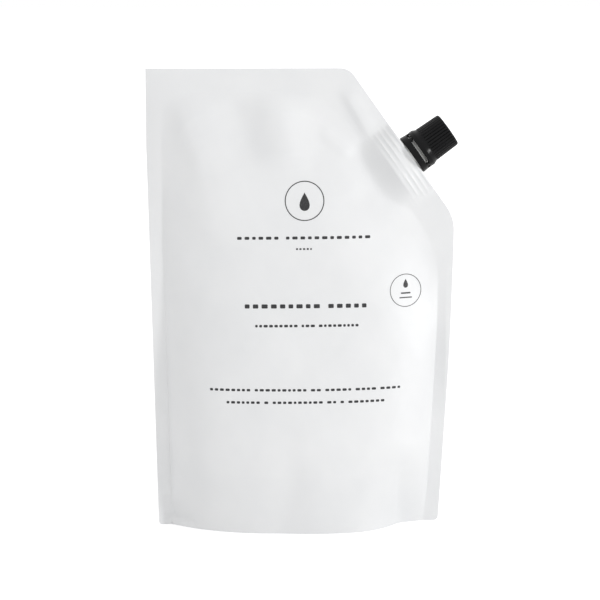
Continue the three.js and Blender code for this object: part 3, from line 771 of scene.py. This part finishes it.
closureSizes = {
    "bore": 5.6, "neck": 7, "neckTop": 22,
    "flange": 9.6, "flangeBottom": 0.3, "flangeTop": 0.95,
    "bead": 9.2, "beadHeight": 2.1,
    "pitch": 3.2, "threadHeight": 0.75, "threadWidth": 1.1, "threadInset": 4,
    "neckTurns": 1.75, "capTurns": 1.25, "threadRunOut": 0.14,
    "clearance": 0.3,
    "ringHeight": 2.7, "ringFoot": 10.75, "ringTop": 10.4,
    "ringLipHeight": 1.45, "ringLip": 8.3, "ringSkirt": 0.4,
    "bridgeAngles": (40, 140, 220, 320), "bridgeWidth": 1.6,
    "sideBridgeAngles": (0, 180), "sideBridgeWidth": 3.2,
    "bridgeGap": 0.05, "window": 1.6,
    "skirt": 10.5, "skirtHeight": 2.2, "flareHeight": 2.9,
    "body": 9.6, "top": 9.25, "rounding": 1.2, "topThickness": 1.5,
    "dish": ((0.4, 0.3), (6.6, 0.3), (6.9, 0.24), (7.3, 0.04), (7.6, 0)),  # radii, and depths under the top
    "flutes": 36, "fluteDepth": 0.45,
    "plugLength": 2.8, "plugWall": 0.9,
    "boatStep": 0.22, "neckStep": 0.16, "capStep": 0.2,
    "spoutCount": 144, "ringCount": 240, "fluteCount": 12,
}
c = SimpleNamespace(**closureSizes)
ringBottom = c.flangeTop + c.clearance
ringTop = ringBottom + c.ringHeight
beadBottom = ringBottom + c.ringLipHeight + c.clearance
beadTop = beadBottom + c.beadHeight
capBottom = ringTop + c.window
skirtTop = capBottom + c.skirtHeight
flareTop = skirtTop + c.flareHeight
capRoof = c.neckTop + c.clearance
capTop = capRoof + c.topThickness
capBore = c.neck + c.threadHeight + c.clearance + 0.1
neckThreadStart = c.neckTop - c.threadInset - c.neckTurns * c.pitch


# A screw rib on a round wall, as a height over it at each angle and a place along the axis
def threadRise(angle, out, start, turns):
    rise = 0 * angle
    for lap in range(math.ceil(turns) + 1):
        turn = angle / fullTurn + lap
        ends = ease(np.minimum(turn, turns - turn) / c.threadRunOut + 0.1) * (turn <= turns) * (turn >= 0)
        off = np.abs(out - (start + turn * c.pitch)) / (c.threadWidth / 2)
        rise = np.maximum(rise, c.threadHeight * ends * clamp01((1.25 - off) / 0.55))
    return rise


# A profile given as [radius, place along the axis] corners, with points added along its sides
def finerProfile(corners, step):
    profile = [corners[0]]
    for (r0, z0), (r1, z1) in zip(corners, corners[1:]):
        count = max(1, math.ceil(math.hypot(r1 - r0, z1 - z0) / step))
        profile += [(mix(r0, r1, i / count), mix(z0, z1, i / count)) for i in range(1, count + 1)]
    return profile


# A quarter of a small rounding between two sides, as corners
def rounding(r, z, radius, fromAngle, toAngle, count=4):
    angles = np.linspace(fromAngle, toAngle, count)
    return [(r + radius * math.cos(a), z + radius * math.sin(a)) for a in angles]


def makeSpout():
    count = c.spoutCount
    angle, cosine, sine = circle(count)
    rings = []

    def ovalRing(out, halfLength, grown):
        l = halfLength * cosine
        half = boatHalfAt(cosine * boatHalfLength) - collarAt(l, -out) + grown
        half = half * np.where(sine >= 0, 1, -1)
        half = np.where(np.abs(sine) < 1e-6, 0, half)
        return np.stack([l, half, out + 0 * l], axis=1)

    def roundRing(radius, out):
        return np.stack([radius * cosine, radius * sine, out + 0 * cosine], axis=1)

    # Weld base from its top down, with its ribs standing out
    bottom = -p.boatSetBack - p.boatDepth
    for out in np.arange(-p.boatSetBack, bottom - 0.01, -c.boatStep):
        rib = (-out - firstRib) / p.ribPitch
        onRib = abs(rib - round(rib)) * p.ribPitch < p.ribWidth / 2 and round(rib) < p.ribs
        halfLength = boatHalfLength - (0 if onRib else p.ribInset)
        rings.append(ovalRing(out, halfLength, p.ribHeight if onRib else 0))
    rings.append(roundRing(c.bore, bottom))
    rings += [roundRing(c.bore, out) for out in np.linspace(bottom, c.neckTop, 40)[1:]]
    rings += [roundRing(r, z) for r, z in rounding(c.neck - 0.4, c.neckTop - 0.4, 0.4, math.pi / 2, 0)]
    for out in np.arange(c.neckTop - 0.5, beadTop, -c.neckStep):
        radius = c.neck + threadRise(angle, out, neckThreadStart, c.neckTurns)
        rings.append(np.stack([radius * cosine, radius * sine, out + 0 * radius], axis=1))
    bevel = 0.15
    profile = [
        (c.neck, beadTop), (c.neck + 0.7, beadTop), (c.bead, mix(beadBottom, beadTop, 0.5)),
        (c.bead, beadBottom), (c.neck, beadBottom), (c.neck, c.flangeTop),
        (c.flange - bevel, c.flangeTop), (c.flange, c.flangeTop - bevel),
        (c.flange, c.flangeBottom + bevel), (c.flange - bevel, c.flangeBottom),
        (c.neck + 0.6, c.flangeBottom), (c.neck, c.flangeBottom - 0.5),
    ]
    rings += [roundRing(r, z) for r, z in finerProfile(profile, 0.8)]
    points = placeOnCut(np.concatenate(rings))
    return makePiece("spout_fitment", points, ringFaces(len(rings), count, True), [spoutWhite], 30)


def makeRing():
    count = c.ringCount
    angle, cosine, sine = circle(count)
    inside = c.bead + c.clearance
    roundFlange = c.flange + c.clearance
    lipTop = ringBottom + c.ringLipHeight
    corners = [
        (c.ringLip, ringBottom + 0.15), (c.ringLip + 0.15, ringBottom), (roundFlange, ringBottom),
        (roundFlange, c.ringSkirt + 0.1), (roundFlange + 0.1, c.ringSkirt), (c.ringFoot - 0.3, c.ringSkirt),
        (c.ringFoot - 0.12, c.ringSkirt + 0.1), (c.ringFoot, c.ringSkirt + 0.4),
        (c.ringTop + 0.02, ringTop - 0.15), (c.ringTop - 0.12, ringTop),
        (inside + 0.1, ringTop), (inside, ringTop - 0.1), (inside, lipTop), (c.ringLip, lipTop - 0.4),
    ]
    # The bridges are drawn up out of the ring's top face
    bridgeHeight = c.window - c.bridgeGap
    onBridge = 0 * angle
    for places, width in ((c.bridgeAngles, c.bridgeWidth), (c.sideBridgeAngles, c.sideBridgeWidth)):
        for place in places:
            turn = (angle - math.radians(place) + math.pi) % fullTurn - math.pi
            onBridge = np.maximum(onBridge, ease((width / 2 + 0.35 - np.abs(turn) * c.ringTop) / 0.4))
    rings = []
    for r, z in finerProfile(corners, 0.45):
        rise = bridgeHeight * onBridge if z > ringTop - 0.16 else 0 * angle
        rings.append(np.stack([r * cosine, r * sine, z + rise], axis=1))
    points = placeOnCut(np.concatenate(rings))
    faces = [face[::-1] for face in ringFaces(len(rings), count, True)]
    return makePiece("tamper_evident_ring", points, faces, [black], 32)


def makeCap():
    count = c.flutes * c.fluteCount
    angle, cosine, sine = circle(count)
    off = np.abs((angle / fullTurn * c.flutes) % 1 - 0.5) * 2  # 0 on a rib's middle, 1 in a groove
    groove = c.fluteDepth * off ** 3.2
    rings = []

    def add(radius, out):
        radius = radius + 0 * angle
        rings.append(np.stack([radius * cosine, radius * sine, out + 0 * radius], axis=1))

    # Top face with a shallow dish, then its rounded edge
    bodyStart = capTop - c.rounding
    for r, under in c.dish:
        add(r, capTop - under)
    for a in np.linspace(math.pi / 2, 0, 9):
        fade = ease(1.15 * (1 - a / (math.pi / 2)))
        edge = c.top - c.rounding + c.rounding * math.cos(a)
        add(edge - groove * fade, bodyStart + c.rounding * math.sin(a))
    bodyEnd = flareTop + 0.35
    for out in np.linspace(bodyStart, bodyEnd, 26)[1:]:
        add(mix(c.body, c.top, (out - flareTop) / (bodyStart - flareTop)) - groove, out)
    # The flare: whichever stands further out, the ribs or the cone below them
    for out in np.linspace(bodyEnd, skirtTop, 34)[1:]:
        down = (bodyEnd - out) / (bodyEnd - skirtTop)
        cone = c.body - c.fluteDepth + (c.skirt - c.body + c.fluteDepth) * down ** 1.25
        add(np.maximum(c.body + 0.02 - groove, cone), out)
    for r, z in [(c.skirt, skirtTop - 0.3), (c.skirt, capBottom + 0.9), (c.skirt, capBottom + 0.3)]:
        add(r, z)
    for r, z in rounding(c.skirt - 0.3, capBottom + 0.3, 0.3, 0, -math.pi / 2)[1:]:
        add(r, z)
    # Inside: mouth, threaded bore, roof and the plug
    mouth = c.bead + c.clearance
    for r, z in [(mouth + 0.2, capBottom), (mouth, capBottom + 0.2), (mouth, capBottom + 1.5),
                 (capBore + 0.05, capBottom + 1.5 + mouth - capBore)]:
        add(r, z)
    shared = c.neckTurns - c.capTurns
    capThreadStart = neckThreadStart + c.pitch * (shared / 2 + 0.5)
    turned = (angle - shared / 2 * fullTurn) % fullTurn
    for out in np.arange(capBottom + 1.7 + mouth - capBore, capRoof - 0.3, c.capStep):
        add(capBore - threadRise(turned, out, capThreadStart, c.capTurns), out)
    plug = c.bore - c.clearance
    for r, z in [(capBore, capRoof), (plug, capRoof), (plug, capRoof - c.plugLength + 0.6),
                 (plug - 0.3, capRoof - c.plugLength), (plug - c.plugWall, capRoof - c.plugLength),
                 (plug - c.plugWall, capRoof), (0.4, capRoof)]:
        add(r, z)
    faces = [face[::-1] for face in ringFaces(len(rings), count, False)]
    faces.append(tuple(range(count)))
    faces.append(tuple(range((len(rings) - 1) * count, len(rings) * count))[::-1])
    return makePiece("screw_cap_fluted", placeOnCut(np.concatenate(rings)), faces, [black], 32)


for maker, body, node, slotName in (
    (makeSpout, "pack", "spout", "spout"),
    (makeRing, "tamper_band", "tamper_ring", "closure"),
    (makeCap, "cap", "screw_cap", "closure"),
):
    piece = maker()
    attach(piece, body)
    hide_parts(node)
    print(piece.name + ":", len(piece.data.polygons), "faces")


# Floor, background and lights

studio = {
    "floorColour": (0.90, 0.90, 0.90),
    "floorReach": 12.0,
    "floorLift": (0.35, 0.6),      # added for the camera near the pack and far off, to make the floor white
    "floorLiftPlace": (0.3, 1.5),  # how near and how far that is, in metres
    "worldLevel": 0.87,
    "aim": (0, 0, 0.12),
    "lights": [
        {"name": "key", "place": (1.30, -0.76, 0.25), "size": 0.25, "watts": 6.4},
        {"name": "back", "place": (-1.25, 0.88, 0.3), "size": 0.3, "watts": 4.8},
    ],
}


def makeFloor():
    mesh = bpy.data.meshes.new("floor")
    reach = studio["floorReach"]
    corners = [(-reach, -reach, 0), (reach, -reach, 0), (reach, reach, 0), (-reach, reach, 0)]
    mesh.from_pydata(corners, [], [(0, 1, 2, 3)])
    floor = bpy.data.objects.new("floor", mesh)
    bpy.context.scene.collection.objects.link(floor)
    bench = NodeBench("pale studio floor")
    nodes, links = bench.nodes, bench.links
    nodes.remove(bench.shader)
    diffuse = nodes.new("ShaderNodeBsdfDiffuse")
    diffuse.inputs["Color"].default_value = (*studio["floorColour"], 1.0)
    lift = nodes.new("ShaderNodeEmission")
    path = nodes.new("ShaderNodeLightPath")
    away = nodes.new("ShaderNodeVectorMath")
    away.operation = "LENGTH"
    links.new(bench.place, away.inputs[0])
    liftHere = bench.spread(away.outputs["Value"], *studio["floorLift"], *studio["floorLiftPlace"])
    strength = bench.math("MULTIPLY", path.outputs["Is Camera Ray"], liftHere)
    links.new(strength, lift.inputs["Strength"])
    add = nodes.new("ShaderNodeAddShader")
    links.new(diffuse.outputs["BSDF"], add.inputs[0])
    links.new(lift.outputs["Emission"], add.inputs[1])
    links.new(add.outputs["Shader"], nodes["Material Output"].inputs["Surface"])
    mesh.materials.append(bench.material)


# Dimmer for what it lights than for the camera and for reflections
def makeWorld():
    world = bpy.data.worlds.new("white studio")
    bpy.context.scene.world = world
    world.use_nodes = True
    nodes, links = world.node_tree.nodes, world.node_tree.links
    background = nodes["Background"]
    background.inputs["Color"].default_value = (1, 1, 1, 1)
    path = nodes.new("ShaderNodeLightPath")
    seen = None
    for output in ("Is Camera Ray", "Is Glossy Ray", "Is Transmission Ray"):
        if seen is None:
            seen = path.outputs[output]
            continue
        either = nodes.new("ShaderNodeMath")
        either.operation = "MAXIMUM"
        links.new(seen, either.inputs[0])
        links.new(path.outputs[output], either.inputs[1])
        seen = either.outputs["Value"]
    level = nodes.new("ShaderNodeMapRange")
    level.inputs["To Min"].default_value = studio["worldLevel"]
    level.inputs["To Max"].default_value = 1.0
    links.new(seen, level.inputs["Value"])
    links.new(level.outputs["Result"], background.inputs["Strength"])


def makeLights():
    for setup in studio["lights"]:
        light = bpy.data.lights.new(setup["name"], "AREA")
        light.energy = setup["watts"]
        light.shape = "DISK"
        light.size = setup["size"]
        lamp = bpy.data.objects.new(setup["name"], light)
        lamp.location = setup["place"]
        back = Vector(setup["place"]) - Vector(studio["aim"])
        lamp.rotation_euler = back.to_track_quat("Z", "Y").to_euler()
        bpy.context.scene.collection.objects.link(lamp)


makeFloor()
makeWorld()
makeLights()
bpy.context.scene.view_settings.view_transform = "Standard"
print("studio ready")
